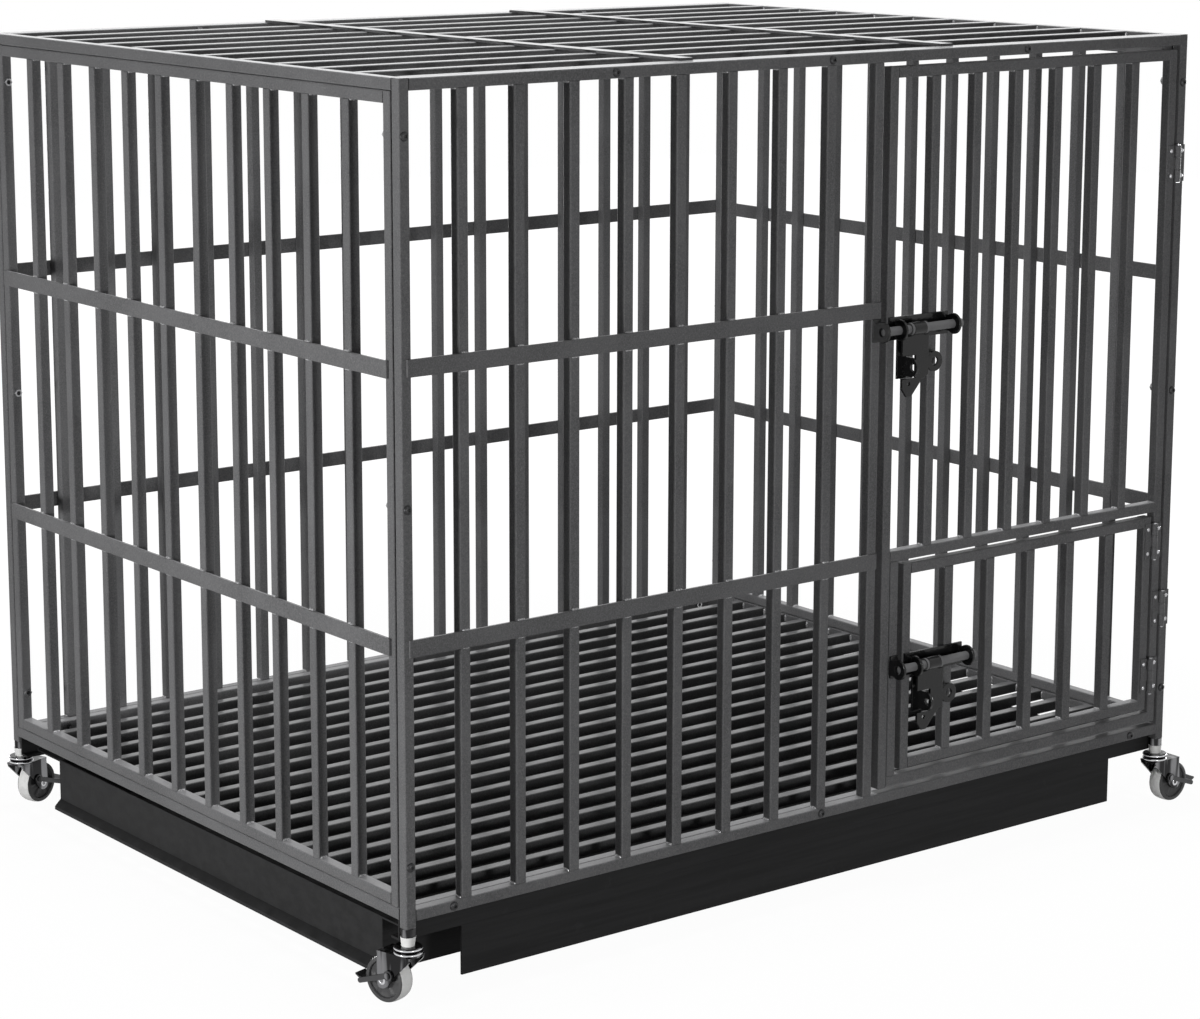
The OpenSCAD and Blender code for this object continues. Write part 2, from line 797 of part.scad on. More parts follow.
// Plate, sleeve and finger ring, welded together
module hasp() {
    difference() {
        hasp_sheet() hasp_outline();
        rod_x([sleeve_in - over, 0, 0], sleeve_r + bond_gap, sleeve_l + 2 * over);
    }
    difference() {
        rod_x([sleeve_in, 0, 0], sleeve_r, sleeve_l);
        rod_x([sleeve_in - over, 0, 0], rod_r + run_clear, sleeve_l + 2 * over);
    }
    hasp_sheet() translate([finger_in, -finger_drop])
        difference() {
            circle(finger_r);
            circle(finger_hole_r);
        }
}

main_jamb_mid = -latch_gap - tube / 2;
feed_jamb_mid = -feed_latch_gap - tube / 2;
module main_keeper() { latch(door_x, main_latch_z) keeper(main_jamb_mid); }
module main_bracket() { latch(door_x, main_latch_z) bracket(); }
module main_staple() { latch(door_x, main_latch_z) staple(); }
module main_bolt() { latch(door_x, main_latch_z) rod(); }
module main_hasp() { latch(door_x, main_latch_z) hasp(); }
module feed_keeper() { latch(feed_x, feed_latch_z) keeper(feed_jamb_mid); }
module feed_bracket() { latch(feed_x, feed_latch_z) bracket(); }
module feed_staple() { latch(feed_x, feed_latch_z) staple(); }
module feed_bolt() { latch(feed_x, feed_latch_z) rod(); }
module feed_hasp() { latch(feed_x, feed_latch_z) hasp(); }

// Angle runner along the front: a web hung under the floor panel's tube, a deep skirt between the casters' reach,
// and a foot that carries the tray, welded together
module runner() {
    len = crate_l - 2 * runner_end;
    skirt_l = crate_l - 2 * skirt_end;
    foot_w = runner_w - runner_t - weld_gap;
    translate([runner_end, runner_y, runner_z]) cube([len, runner_t, floor_z - runner_z]);
    translate([skirt_end, runner_y, skirt_z]) cube([skirt_l, runner_t, runner_z - weld_gap - skirt_z]);
    translate([runner_end, runner_y + runner_t + weld_gap, runner_z]) cube([len, foot_w, runner_t]);
}

module tray_runners() {
    color(steel) place() both_ends() runner();
}

// One long side of the tray: a wall, and a flange with a rolled hem
module tray_side(len, rim_z) {
    wall_z = tray_z + tray_t + weld_gap;
    translate([tray_x0, tray_well_in, wall_z]) cube([len, tray_t, rim_z - wall_z]);
    translate([tray_x0, tray_flange_in + hem_r, flange_z])
        cube([len, tray_well_in - weld_gap - tray_flange_in - hem_r, tray_t]);
    rod_x([tray_x0, tray_flange_in + hem_r, flange_z + hem_r], hem_r, len);
}

// One end of the tray, from x, between its long sides
module tray_end(x, rim_z) {
    wall_y = tray_well_in + tray_t + weld_gap;
    wall_z = tray_z + tray_t + weld_gap;
    translate([x, wall_y, wall_z]) cube([tray_t, crate_d - 2 * wall_y, rim_z - wall_z]);
}

// Seam-welded pan with a flange along each side and a sloping pull lip at the left end
module tray() {
    len = tray_x1 - tray_x0;
    well_w = crate_d - 2 * tray_well_in;
    rim_z = flange_z + tray_t;
    color("darkslategray") place() {
        translate([tray_x0, tray_well_in, tray_z]) cube([len, well_w, tray_t]);
        both_ends() tray_side(len, rim_z);
        for (x = [tray_x0, tray_x1 - tray_t]) tray_end(x, rim_z);
        translate([tray_x0 - weld_gap, tray_well_in + well_w, tray_z]) rotate([90, 0, 0])
            linear_extrude(well_w)
                polygon([[0, 0], [0, lip_h], [-lip_reach, lip_h / 3], [-lip_reach, 0]]);
    }
}

// Caster frame: swivel axis at the origin, the wheel trails along X
corners = [
    [post_c, post_c], [crate_l - post_c, post_c],
    [post_c, crate_d - post_c], [crate_l - post_c, crate_d - post_c]];

module caster(i, heading) {
    place() translate(corners[i]) rotate([0, 0, heading]) children();
}

// Swivel ring with a round rim, from z up
module race(z) {
    rim_r = ring_t / 2;
    translate([0, 0, z]) rotate_extrude() {
        square([ring_r - rim_r, ring_t]);
        translate([ring_r - rim_r, rim_r]) circle(rim_r);
    }
}

module caster_stems() {
    color(bright)
        for (i = [0 : 3])
            caster(i, 0) {
                translate([0, 0, plate_z]) cylinder(r = kingpin_r, h = foot_z + stud_l - over - plate_z);
                race(ring_z);
                translate([0, 0, ferrule_z]) cylinder(r = ferrule_r, h = ferrule_h, $fn = 8);
            }
}

module caster_collars() {
    color("white")
        for (i = [0 : 3])
            caster(i, 0) translate([0, 0, collar_z])
                difference() {
                    cylinder(r1 = collar_foot_r, r2 = collar_top_r, h = collar_h);
                    translate([0, 0, -over]) cylinder(r = kingpin_r + hole_clear, h = collar_h + 2 * over);
                }
}

// Plate standing along the trail, drawn in its own plane, from y to y + t
module upright(y, t) {
    translate([0, y + t, 0]) rotate([90, 0, 0]) linear_extrude(t) children();
}

module cheek_outline() {
    polygon([for (s = cheek_shares) [s[0] * trail, s[1] * crown_z]]);
    translate([trail, wheel_r]) circle(cheek_boss_r);
    translate([pivot_x, pivot_z]) circle(pivot_boss_r);
}

module fork() {
    wide = 2 * (cheek_y + cheek_t);
    difference() {
        union() {
            race(crown_z);
            translate([-plate_front_share * trail, -wide / 2, plate_z])
                cube([(plate_front_share + plate_back_share) * trail, wide, crown_plate_t]);
            for (y = [-cheek_y - cheek_t, cheek_y]) upright(y, cheek_t) cheek_outline();
            for (m = [0, 1])
                mirror([0, m, 0]) {
                    rod_y([pivot_x, cheek_y, pivot_z], pivot_r, arm_y - cheek_y + arm_t + end_clear);
                    rod_y([pivot_x, arm_y + arm_t + end_clear, pivot_z], pivot_head_r, pivot_head_t);
                }
        }
        translate([0, 0, plate_z - over])
            cylinder(r = kingpin_r + run_clear, h = crown_plate_t + ring_t + 2 * over);
        rod_y([trail, -wide / 2 - over, wheel_r], axle_r + hole_clear, wide + 2 * over);
    }
    rod_y([trail, -wide / 2, wheel_r], axle_r, wide);
}

// Tyre section with round shoulders, half its width each way
module tyre_section(half) {
    tyre_in = hub_r + bond_gap;
    edge_r = wheel_r - tyre_shoulder;
    translate([tyre_in, -half]) square([edge_r - tyre_in, 2 * half]);
    translate([tyre_in, tyre_shoulder - half]) square([wheel_r - tyre_in, 2 * (half - tyre_shoulder)]);
    for (y = [-1, 1]) translate([edge_r, y * (half - tyre_shoulder)]) circle(tyre_shoulder);
}

// Bonded tyre, and a hub with a boss, a web, ribs and a rim
module wheel() {
    half = wheel_w / 2;
    web = half - hub_recess;
    bore = axle_r + run_clear;
    rib_l = hub_r - hub_lip - hub_boss_r;
    translate([trail, 0, wheel_r]) rotate([90, 0, 0]) {
        rotate_extrude() tyre_section(half);
        rotate_extrude()
            polygon([
                [bore, -half], [hub_boss_r, -half], [hub_boss_r, -web], [hub_r - hub_lip, -web],
                [hub_r - hub_lip, -half], [hub_r, -half], [hub_r, half], [hub_r - hub_lip, half],
                [hub_r - hub_lip, web], [hub_boss_r, web], [hub_boss_r, half], [bore, half]]);
        for (k = [0 : rib_n - 1])
            rotate(k * 360 / rib_n)
                translate([hub_boss_r - over, -rib_t / 2, rib_drop - half])
                    cube([rib_l + 2 * over, rib_t, 2 * (half - rib_drop)]);
    }
}

// Brake arm outline from its pivot eye to the cross bar
module arm_outline() {
    difference() {
        union() {
            translate([pivot_x, pivot_z]) circle(pivot_boss_r);
            translate([pivot_x, pivot_z]) rotate(-arm_slope)
                translate([0, -arm_w / 2]) square([arm_l, arm_w]);
            translate([pad_x, pad_z]) circle(arm_w / 2);
        }
        translate([pivot_x, pivot_z]) circle(pivot_r + run_clear);
    }
}

module brake() {
    for (y = [-arm_y - arm_t, arm_y]) upright(y, arm_t) arm_outline();
    rod_y([pad_x, -arm_y - arm_t, pad_z], pad_r, 2 * (arm_y + arm_t));
    upright(-pedal_w / 2, pedal_w) translate([pad_x, pad_z - tab_t / 2])
        polygon([
            [0, 0], [tab_l - toe_l, 0], [tab_l, toe_rise], [tab_l, toe_rise + tab_t],
            [tab_l - toe_l, tab_t], [0, tab_t]]);
}

module fl_fork() { color(bright) caster(0, fl_heading) fork(); }
module fl_wheel() { color("gray") caster(0, fl_heading) wheel(); }
module fl_brake() { color(glossy) caster(0, fl_heading) brake(); }
module fr_fork() { color(bright) caster(1, fr_heading) fork(); }
module fr_wheel() { color("gray") caster(1, fr_heading) wheel(); }
module fr_brake() { color(glossy) caster(1, fr_heading) brake(); }
module bl_fork() { color(bright) caster(2, bl_heading) fork(); }
module bl_wheel() { color("gray") caster(2, bl_heading) wheel(); }
module bl_brake() { color(glossy) caster(2, bl_heading) brake(); }
module br_fork() { color(bright) caster(3, br_heading) fork(); }
module br_wheel() { color("gray") caster(3, br_heading) wheel(); }
module br_brake() { color(glossy) caster(3, br_heading) brake(); }

front_frame();
front_bars();
front_straps();
back_frame();
back_bars();
back_straps();
left_frame();
left_bars();
left_straps();
right_frame();
right_bars();
right_straps();
top_frame();
top_bars();
top_straps();
floor_frame();
floor_slats();
tray_runners();
tray();
panel_bolts();
panel_nuts();
door_frame();
door_bars();
feed_jamb();
feed_frame();
feed_bars();
main_hinge_fixed();
main_hinge_moving();
main_hinge_pins();
post_rivets();
feed_hinge_fixed();
feed_hinge_moving();
feed_hinge_pins();
door_rivets();
feed_rivets();
main_keeper();
main_bracket();
main_staple();
main_bolt();
main_hasp();
feed_keeper();
feed_bracket();
feed_staple();
feed_bolt();
feed_hasp();
caster_stems();
caster_collars();
fl_fork();
fl_wheel();
fl_brake();
fr_fork();
fr_wheel();
fr_brake();
bl_fork();
bl_wheel();
bl_brake();
br_fork();
br_wheel();
br_brake();
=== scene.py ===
"""Looks of a heavy duty dog crate: coated tube, gloss black latches, chrome casters and a dark tray."""
import json
import math

import bmesh
import bpy
import numpy as np
from mathutils import Matrix, Vector


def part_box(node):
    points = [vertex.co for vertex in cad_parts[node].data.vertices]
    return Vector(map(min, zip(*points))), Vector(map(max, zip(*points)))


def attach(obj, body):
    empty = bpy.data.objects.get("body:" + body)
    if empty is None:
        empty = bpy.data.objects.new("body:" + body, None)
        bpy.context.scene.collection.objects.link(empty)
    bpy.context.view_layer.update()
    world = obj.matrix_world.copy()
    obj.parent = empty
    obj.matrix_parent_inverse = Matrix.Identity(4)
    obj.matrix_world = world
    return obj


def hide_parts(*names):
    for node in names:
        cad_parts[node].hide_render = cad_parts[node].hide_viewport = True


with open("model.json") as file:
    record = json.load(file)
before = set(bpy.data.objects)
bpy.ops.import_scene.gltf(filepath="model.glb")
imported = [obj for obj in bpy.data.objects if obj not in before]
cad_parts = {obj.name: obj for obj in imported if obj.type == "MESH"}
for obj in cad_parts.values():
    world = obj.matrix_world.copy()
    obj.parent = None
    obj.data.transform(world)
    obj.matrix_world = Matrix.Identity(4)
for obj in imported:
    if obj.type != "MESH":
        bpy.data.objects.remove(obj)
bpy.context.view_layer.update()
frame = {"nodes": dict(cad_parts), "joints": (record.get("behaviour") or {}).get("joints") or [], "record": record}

bl_info = {
    "name": "Dog Crate Looks",
    "version": (1, 0, 0),
    "blender": (4, 5, 0),
    "location": "3D View > Sidebar > Crate",
    "description": "Dresses the solids of a welded dog crate with paint, welds, screws, wheels and a stage",
    "category": "Object",
}

CORNERS = ("fl", "fr", "bl", "br")
OWN_FINISH = {"main_bolt": "rod", "feed_bolt": "rod", "floor_slats": "slat"}
JOINTS = {j["name"]: j for j in frame["joints"]}
AXES = np.eye(3)
X, Y, Z = AXES
WHITE = (1.0, 1.0, 1.0, 1.0)

# Rows of equal bars: how many, the axis of the row and the axis of the bars
BAR_ROWS = {
    "front_bars": (8, 0, 2),
    "back_bars": (15, 0, 2),
    "left_bars": (10, 1, 2),
    "right_bars": (10, 1, 2),
    "top_bars": (10, 1, 0),
    "floor_slats": (17, 1, 0),
    "door_bars": (6, 0, 2),
    "feed_bars": (5, 0, 2),
}

# Straps: the row that each pair crosses and the side it lies on, -1 for the low side
STRAPS = {
    "front_straps": ("front_bars", -1),
    "back_straps": ("back_bars", 1),
    "left_straps": ("left_bars", -1),
    "right_straps": ("right_bars", 1),
}

# Sizes of the solids that the pieces sit on, in metres
TUBE = 0.0127
STRAP_W = 0.018
BOLT_R = 0.0025
BOLT_HEAD_R = 0.005
BOLT_HEAD_H = 0.0028
BOLT_GRIP = 0.03
POST_BOLT_TOP = 0.057
POST_BOLT_FOOT = 0.059
TOP_BOLT_IN = 0.271
FLOOR_BOLT_IN = 0.06
HINGE_H = 0.044
RIVET_IN = 0.007
RIVET_R = 0.0016
RIVET_HEAD_R = 0.0026
RIVET_HEAD_H = 0.0012
RIVET_GRIP = 0.006
WHEEL_R = 0.0254
WHEEL_HALF = 0.009
TREAD_HALF = 0.008
HUB_R = 0.0228
FLANGE_R = 0.0244
TYRE_INNER_R = 0.02285
BORE_R = 0.00406
FORK_HALF = 0.0124
RING_R = 0.0154
FORK_RING_Z = 0.059
STEM_RING_Z = 0.064

# Weld beads: shares of the bar's width and of the leg
BEAD_LENGTH = 0.72
BEAD_RIPPLE = 0.16
BEAD_SWELL = 0.22

# Screw heads: arc of the dome in radians, straight rim and socket as shares of the head's sizes
DOME_SWEEP = 1.02
DOME_RIM = 0.16
SOCKET_TOP = 0.98
SOCKET_TAPER = 0.96
SOCKET_TIP = 1.2

# Section of the tyre in metres, and the width of its moulding line as a share of the tread
TREAD_EDGE = 0.0012
TREAD_CHAMFER = 0.0004
TREAD_LINE = 0.00025
TREAD_LINE_W = 0.04

# Section of the wheel core in metres: boss, web and rim, sunk from its face or in from its radius
BOSS_R = 0.0072
BOSS_FOOT_R = 0.008
BOSS_SUNK = 0.0003
BOSS_FOOT_SUNK = 0.0012
WEB_R = 0.0082
WEB_IN = 0.0034
WEB_SUNK = 0.0022
WEB_DISH = 0.0006
RIB_H = 0.0012
RIM_IN = 0.003
RIM_LIP_IN = 0.0024
RIM_FOOT_SUNK = 0.001
RIM_SUNK = 0.0001
RIM_EDGE = 0.0006
RIM_BACK_SUNK = 0.0009

# Heights in metres between which the glossy tops of the roof, with their painted sheen, set in
ROOF_SHEEN_FADE = (0.92, 0.94)

# Rolled axle ends, in metres
AXLE_RISE = 0.00025
AXLE_SUNK = 0.0002

# Stage: metres, grey levels and strengths
FLOOR_HALF = 6.0
FLOOR_SUNK = 0.0004
FLOOR_GREY = (0.15, 0.17)
FLOOR_GLOW = 1.08
SHADOW_SHARE = 0.1
SHADOW_REACH = (0.9, 2.0)
SOFT_LIGHT = 0.055

# Camera of the photograph: place from the front frame's low corner, radians, focal length in pixels
PICTURE_W = 1200.0
SENSOR_W = 36.0
VIEW_PLACE = (-1.7169812, -2.5275425, 1.1955191)
VIEW_YAW = 0.6607
VIEW_PITCH = 0.1849
VIEW_ROLL = 0.0021
VIEW_FOCAL = 3120.2148
VIEW_SHIFT = (0.0018, -0.08)


# Shapes as whole arrays


def grid_faces(nu, nv, wrap_u=False, wrap_v=False):
    """Quads of an nu by nv grid of points in rows; a wrapped direction joins its last row to its first."""
    u = np.arange(nu if wrap_u else nu - 1)[:, None]
    v = np.arange(nv if wrap_v else nv - 1)[None, :]
    u2, v2 = (u + 1) % nu, (v + 1) % nv
    return np.stack([u * nv + v, u2 * nv + v, u2 * nv + v2, u * nv + v2], -1).reshape(-1, 4)


def lathe(profile, steps, closed):
    """Surface of revolution: each (radius, height) of the profile is carried round Z in equal steps."""
    p = np.asarray(profile, float)
    a = np.linspace(0.0, 2.0 * np.pi, steps, endpoint=False)[:, None]
    verts = np.stack([p[:, 0] * np.cos(a), p[:, 0] * np.sin(a), p[:, 1] + 0.0 * a], -1)
    return verts.reshape(-1, 3), grid_faces(steps, len(p), True, closed)


def stamp(shape, frames):
    """Copies of one shape: every point is turned and moved by each 3 by 4 frame at once."""
    verts, faces = shape
    frames = np.asarray(frames, float)
    out = np.einsum("nij,vj->nvi", frames[:, :, :3], verts) + frames[:, None, :, 3]
    step = np.arange(len(frames))[:, None, None] * len(verts)
    return out.reshape(-1, 3), (faces[None] + step).reshape(-1, 4)


def frame_at(origin, x_axis, y_axis, z_axis):
    """3 by 4 frame whose columns are three axes and an origin."""
    return np.stack([x_axis, y_axis, z_axis, np.asarray(origin, float)], -1)


def arc(cx, cy, r, a0, a1, n):
    """Points on a circle arc from angle a0 to a1, in degrees."""
    a = np.radians(np.linspace(a0, a1, n))
    return np.stack([cx + r * np.cos(a), cy + r * np.sin(a)], -1)


def piece(name, shape, material, body, replaced=(), smooth=40.0):
    """A mesh object at the origin that rides on a body; poles are merged and faces turned outwards."""
    verts, faces = shape
    mesh = bpy.data.meshes.new(name)
    mesh.from_pydata(verts, [], faces)
    bm = bmesh.new()
    bm.from_mesh(mesh)
    bmesh.ops.remove_doubles(bm, verts=bm.verts, dist=1e-7)
    bmesh.ops.dissolve_degenerate(bm, edges=bm.edges, dist=1e-8)
    bmesh.ops.recalc_face_normals(bm, faces=bm.faces)
    bm.to_mesh(mesh)
    bm.free()
    mesh.shade_smooth()
    mesh.set_sharp_from_angle(angle=math.radians(smooth))
    mesh.materials.append(material)
    obj = bpy.data.objects.new(name, mesh)
    bpy.context.scene.collection.objects.link(obj)
    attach(obj, body)
    if replaced:
        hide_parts(*replaced)
    return obj


# Shader maths


class Sock:
    """A node's output that takes part in Python sums; each sum adds one Math node."""

    def __init__(self, net, socket):
        self.net = net
        self.socket = socket

    def _sum(self, operation, a, b):
        """One Math node on two values."""
        return self.net.node("ShaderNodeMath", {"operation": operation}, {0: a, 1: b})

    def __add__(self, other):
        return self._sum("ADD", self, other)

    def __radd__(self, other):
        return self._sum("ADD", other, self)

    def __mul__(self, other):
        return self._sum("MULTIPLY", self, other)

    def __rmul__(self, other):
        return self._sum("MULTIPLY", other, self)

    def above(self, low, high):
        """0 below low, 1 above high, smooth between."""
        return self.net.node(
            "ShaderNodeMapRange",
            {"interpolation_type": "SMOOTHSTEP"},
            {0: self, 1: low, 2: high, 3: 0.0, 4: 1.0},
        )


class Net:
    """Nodes of one material or world, all made by one method."""

    def __init__(self, owner):
        owner.use_nodes = True
        self.tree = owner.node_tree

    def node(self, kind, settings=None, inputs=None, out=0):
        """Any node: its settings first, then values or links on its sockets; gives the chosen output."""
        n = self.tree.nodes.new(kind)
        for key, value in (settings or {}).items():
            setattr(n, key, value)
        for key, value in (inputs or {}).items():
            if isinstance(value, Sock):
                self.tree.links.new(value.socket, n.inputs[key])
            else:
                n.inputs[key].default_value = value
        return Sock(self, n.outputs[out]) if n.outputs else None

    def seen(self):
        """1 where the camera sees a surface, straight, reflected or through something clear, else 0."""
        rays = ("Is Camera Ray", "Is Glossy Ray", "Is Transmission Ray")
        camera, glossy, clear = (self.node("ShaderNodeLightPath", out=ray) for ray in rays)
        return camera + glossy + clear


class Finish(Net):
    """One material and its nodes, on the object's own coordinates."""

    def __init__(self, name, **constants):
        self.material = bpy.data.materials.new(name)
        super().__init__(self.material)
        self.shader = self.tree.nodes["Principled BSDF"]
        for key, value in constants.items():
            self.shader.inputs[key.replace("_", " ")].default_value = value
        self.place = self.node("ShaderNodeTexCoord", out="Object")

    def mix(self, factor, a, b):
        """Colour between a and b."""
        return self.node(
            "ShaderNodeMix", {"data_type": "RGBA", "clamp_factor": True}, {0: factor, 6: a, 7: b}, out=2
        )

    def noise(self, scale, detail=2.0, rough=0.5, stretch=None):
        """Cloudy noise with about scale lumps a metre, drawn out along an axis by stretch."""
        place = self.place
        if stretch:
            place = self.node("ShaderNodeMapping", None, {"Vector": place, "Scale": stretch})
        inputs = {"Vector": place, "Scale": scale, "Detail": detail, "Roughness": rough}
        return self.node("ShaderNodeTexNoise", None, inputs)

    def up(self):
        """How far the surface faces up, from -1 to 1."""
        normal = self.node("ShaderNodeNewGeometry", out="Normal")
        return self.node("ShaderNodeSeparateXYZ", None, {0: normal}, out=2)

    def feed(self, socket, value):
        """Links a value to a socket of the shader."""
        self.tree.links.new(value.socket, self.shader.inputs[socket])

    def bump(self, height, distance, strength=1.0, edge=0.0):
        """Height as a bump; an edge radius rounds the shading of sharp corners."""
        inputs = {"Height": height, "Distance": distance, "Strength": strength}
        if edge:
            inputs["Normal"] = self.node("ShaderNodeBevel", {"samples": 4}, {"Radius": edge})
        self.feed("Normal", self.node("ShaderNodeBump", None, inputs))


def rgba(colour, share=1.0):
    """A colour made lighter or darker by a share, with full alpha."""
    return (colour[0] * share, colour[1] * share, colour[2] * share, 1.0)


def powder_coat(name, colour, share=1.0, low_sheen=0.3):
    """Hammered powder coat: pebbles of a millimetre or two, cloudy tone, pale flecks, glossy tops with a painted
    sheen.
    """
    f = Finish(name, Specular_IOR_Level=0.05, Coat_Roughness=0.15, Coat_IOR=2.2)
    colour = rgba(colour, share)
    pebble = f.noise(520.0, 3.0, 0.65)
    cloud = f.noise(9.0, 3.0, 0.55)
    fleck = f.noise(900.0, 1.0).above(0.64, 0.74)
    roof = f.node("ShaderNodeSeparateXYZ", None, {0: f.place}, out=2).above(*ROOF_SHEEN_FADE)
    # Painted sheen: faces that look up get a coat and are blended towards three times the paint's colour, in full
    # on the roof and by a smaller share lower down
    top = f.up().above(0.6, 0.95) * (low_sheen + (1.0 - low_sheen) * roof)
    tone = f.mix(cloud.above(0.3, 0.7), rgba(colour, 0.84), rgba(colour, 1.16))
    tone = f.mix(pebble.above(0.3, 0.72) * 0.6, tone, rgba(colour, 1.7))
    tone = f.mix(fleck * 0.35, tone, rgba(colour, 3.2))
    f.feed("Base Color", f.mix(top, tone, rgba(colour, 3.0)))
    f.feed("Roughness", 0.3 + 0.2 * pebble)
    f.feed("Coat Weight", 0.9 * top)
    f.bump(pebble, 0.0006, 0.5, edge=0.001)
    return f.material


def weld_coat(colour):
    """The same paint over a bead, glossy, its colour made two to five times lighter in lumps as a painted glint.
    """
    f = Finish("weld_coat", Specular_IOR_Level=0.6, Coat_Weight=0.6, Coat_Roughness=0.1)
    lump = f.noise(700.0, 2.0, 0.6)
    f.feed("Base Color", f.mix(lump.above(0.4, 0.7), rgba(colour, 2.0), rgba(colour, 5.0)))
    f.feed("Roughness", 0.15 + 0.25 * lump)
    f.bump(lump, 0.0004, 0.5)
    return f.material


def gloss_black(colour):
    """Thick gloss paint: slow orange peel, and faint rub marks that are less shiny."""
    f = Finish("gloss_black", Specular_IOR_Level=0.3)
    peel = f.noise(420.0, 1.5, 0.4)
    rub = f.noise(160.0, 4.0, 0.65).above(0.56, 0.74)
    f.feed("Base Color", f.mix(rub * 0.6, rgba(colour), rgba(colour, 2.6)))
    f.feed("Roughness", 0.16 + 0.25 * rub)
    f.bump(peel, 0.0005, 0.35, edge=0.0009)
    return f.material


def black_oxide(colour):
    """Dark oil-finished screw steel with rubbed spots."""
    f = Finish("black_oxide", Metallic=0.6)
    rub = f.noise(700.0, 3.0, 0.6)
    f.feed("Base Color", f.mix(rub.above(0.5, 0.75), rgba(colour), rgba(colour, 4.0)))
    f.feed("Roughness", 0.3 + 0.25 * rub)
    f.bump(rub, 0.0001, 0.4)
    return f.material


def plated(name, colour, rough, grain):
    """Bright plating over rolled steel: fine grain in its gloss and faint smudges."""
    f = Finish(name, Metallic=1.0)
    fine = f.noise(grain, 3.0, 0.6)
    smudge = f.noise(60.0, 3.0, 0.6).above(0.45, 0.8)
    f.feed("Base Color", f.mix(smudge * 0.6, rgba(colour), rgba(colour, 0.62)))
    f.feed("Roughness", rough + 0.14 * fine + 0.16 * smudge)
    f.bump(fine, 0.00006, 0.4)
    return f.material


def mirror_plate(name, colour):
    """Chrome on pressed sheet: upright light and dark bands as painted reflections, and fine grain in its gloss.
    """
    f = Finish(name, Metallic=1.0)
    reflection_band = f.noise(110.0, 2.0, 0.5, stretch=(1.0, 1.0, 0.12)).above(0.46, 0.64)
    fine = f.noise(500.0, 3.0, 0.6)
    f.feed("Base Color", f.mix(reflection_band, rgba(colour, 0.4), rgba(colour, 3.4)))
    f.feed("Roughness", 0.08 + 0.14 * fine)
    f.bump(fine, 0.00006, 0.4)
    return f.material


def tray_coat(colour):
    """Satin coat on rolled sheet, with long faint rolling streaks and scuffs, and painted shade on the faces that
    look up.
    """
    f = Finish("tray_coat", Specular_IOR_Level=0.08)
    streak = f.noise(60.0, 4.0, 0.6, stretch=(0.08, 1.0, 1.6))
    fine = f.noise(900.0, 2.0)
    scuff = f.noise(38.0, 5.0, 0.7).above(0.6, 0.72)
    tone = f.mix(streak.above(0.3, 0.7), rgba(colour, 0.75), rgba(colour, 1.3))
    tone = f.mix(scuff * 0.25, tone, rgba(colour, 2.2))
    # Painted shade: faces that look up are made five times darker
    f.feed("Base Color", f.mix(f.up().above(0.5, 0.9), tone, rgba(colour, 0.2)))
    f.feed("Roughness", 0.42 + 0.2 * streak)
    f.bump(fine + 0.6 * streak, 0.00025, 0.4)
    return f.material


def moulded(name, colour, dirt):
    """Moulded plastic or rubber, or satin paint: fine spark texture, grime in clouds."""
    f = Finish(name)
    spark = f.noise(1500.0, 2.0)
    grime = f.noise(70.0, 4.0, 0.65).above(0.4, 0.75)
    f.feed("Base Color", f.mix(grime * dirt, rgba(colour), rgba(colour, 0.45)))
    f.feed("Roughness", 0.45 + 0.25 * spark)
    f.bump(spark, 0.00015, 0.5)
    return f.material


# What a user would change


def colour_prop(name, description, default):
    """A colour that a user can change."""
    return bpy.props.FloatVectorProperty(
        name=name, description=description, default=default, subtype="COLOR", min=0.0, max=1.0, size=3
    )


def length_prop(name, description, default):
    """A length that a user can change."""
    return bpy.props.FloatProperty(
        name=name, description=description, default=default, unit="LENGTH", min=0.0
    )


class CrateColours(bpy.types.PropertyGroup):
    frame_coat: colour_prop("Frame", "Powder coat on the tubes and straps", (0.115, 0.115, 0.1175))
    latch: colour_prop("Latches", "Gloss paint on the latches", (0.006, 0.006, 0.0063))
    bolt: colour_prop("Bolts", "Oxide on the panel bolts", (0.02, 0.02, 0.021))
    tray: colour_prop("Tray", "Coat on the tray and its runners", (0.018, 0.018, 0.0185))
    zinc: colour_prop("Zinc", "Plating on the nuts, pins and rivets", (0.4, 0.4, 0.41))
    rod: colour_prop("Rods", "Satin paint of the sliding rods", (0.13, 0.13, 0.133))
    # Ten times lighter than the chrome, as a painted highlight on the rims and the axle ends
    rim: colour_prop("Rims", "Polished rims of the swivel rings", (0.6, 0.6, 0.615))
    # Far darker than bright chrome, as a painted dark reflection on the forks and rings
    chrome: colour_prop("Chrome", "Plating on the forks and swivel rings", (0.06, 0.06, 0.062))
    collar: colour_prop("Collars", "Plastic of the collars under the posts", (0.82, 0.82, 0.81))
    tread: colour_prop("Tread", "Rubber of the tyres", (0.9, 0.9, 0.89))
    hub: colour_prop("Hubs", "Plastic of the wheel cores", (0.03, 0.03, 0.031))
    pedal: colour_prop("Pedals", "Dark plating on the brake pedals", (0.07, 0.07, 0.072))


class CrateSizes(bpy.types.PropertyGroup):
    weld_leg: length_prop("Weld leg", "Leg of the fillet beads", 0.0019)
    socket: length_prop("Socket", "Half width of the hex sockets in the bolts", 0.0016)
    socket_depth: length_prop("Socket depth", "Depth of the hex sockets", 0.0016)
    tread_crown: length_prop("Tread crown", "Rise of the tread's middle above its edges", 0.0005)
    rim_bead: length_prop("Rim bead", "Radius of the polished bead round a swivel ring", 0.001)
    axle_end: length_prop("Axle end", "Radius of the rolled ends of the axles", 0.0046)


class CrateLooks(bpy.types.PropertyGroup):
    colours: bpy.props.PointerProperty(
        type=CrateColours, name="Colours", description="Colours of the finishes"
    )
    sizes: bpy.props.PointerProperty(
        type=CrateSizes, name="Sizes", description="Sizes of the small details"
    )


# Finishes by name, filled when the solids are painted
FINISH = {}


def looks():
    """The colours and sizes in use."""
    return bpy.context.scene.crate_looks


def slot_of(node):
    """Material slot that the record gives a node."""
    return next(s["material_slot"] for s in frame["record"]["subparts"] if s["node"] == node)


